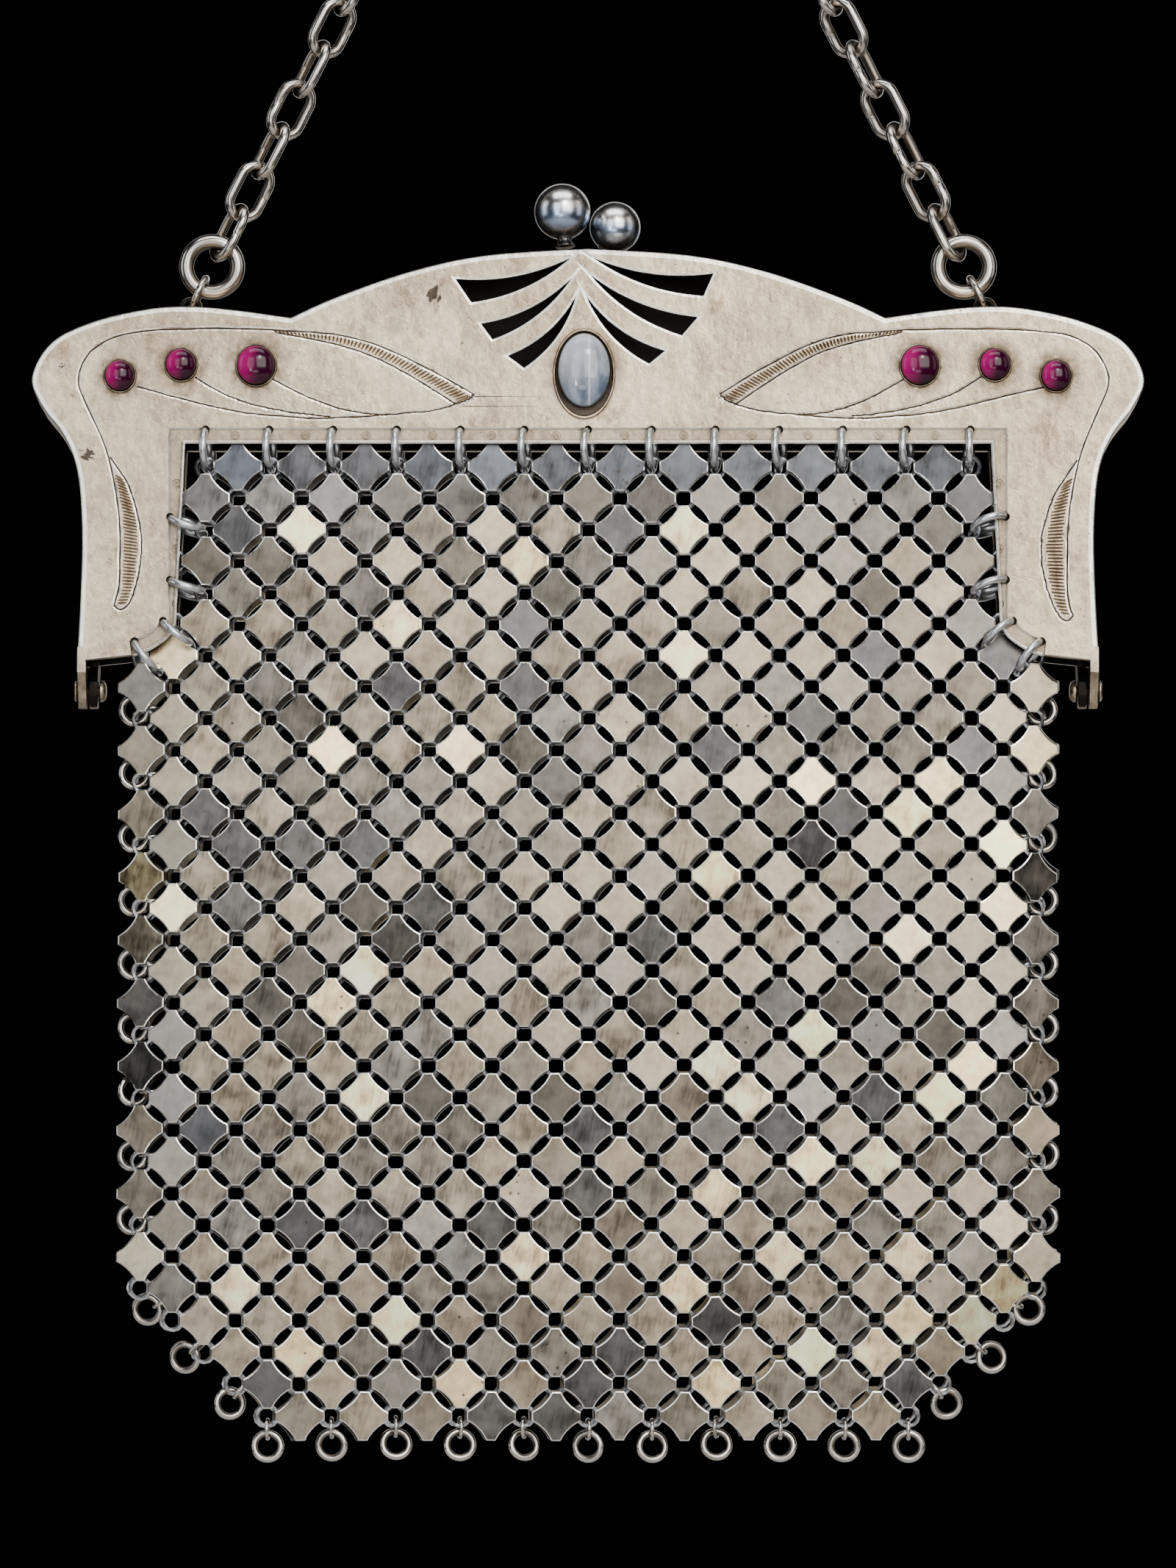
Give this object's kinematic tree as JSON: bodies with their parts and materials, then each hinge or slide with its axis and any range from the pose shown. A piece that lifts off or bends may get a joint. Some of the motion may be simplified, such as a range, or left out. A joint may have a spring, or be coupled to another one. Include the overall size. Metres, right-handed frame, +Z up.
{
  "type": "metal mesh purse",
  "caption": "Silver mesh purse: a pierced, engraved frame with cabochon stones, a ball clasp and foot hinges, a bag of small plates on rings, and a link chain to hang from.",
  "frame": {"origin": "where the chain's top link hangs, under the upper leg of that link", "axes": "+Z up along the hang line, +X to the right seen from the front, the front faces -Y"},
  "size_m": [0.1512, 0.0132, 0.2617],
  "materials": {
    "frame_silver": "satin silver with warm tarnish near edges and settings",
    "mesh_silver": "satin silver plates with bright edges, each its own tone",
    "chain_silver": "polished silver wire with brown tarnish in the bends",
    "ball_silver": "mirror polished",
    "garnet": "polished cabochon, deep magenta red",
    "moonstone": "polished cabochon, milky blue white"
  },
  "bodies": {
    "root": {"front_frame": "frame_silver", "back_frame": "frame_silver", "garnet_small_left": "garnet", "garnet_small_right": "garnet", "garnet_mid_left": "garnet", "garnet_mid_right": "garnet", "garnet_large_left": "garnet", "garnet_large_right": "garnet", "moonstone": "moonstone", "clasp_ball_front": "ball_silver", "clasp_ball_back": "ball_silver", "mesh_front": "mesh_silver", "mesh_back": "mesh_silver", "chain": "chain_silver", "hinge_pin_left": "chain_silver", "hinge_pin_right": "chain_silver", "chain_ring_left": "chain_silver", "chain_ring_right": "chain_silver", "jump_ring_left": "chain_silver", "jump_ring_right": "chain_silver"}
  },
  "joints": []
}
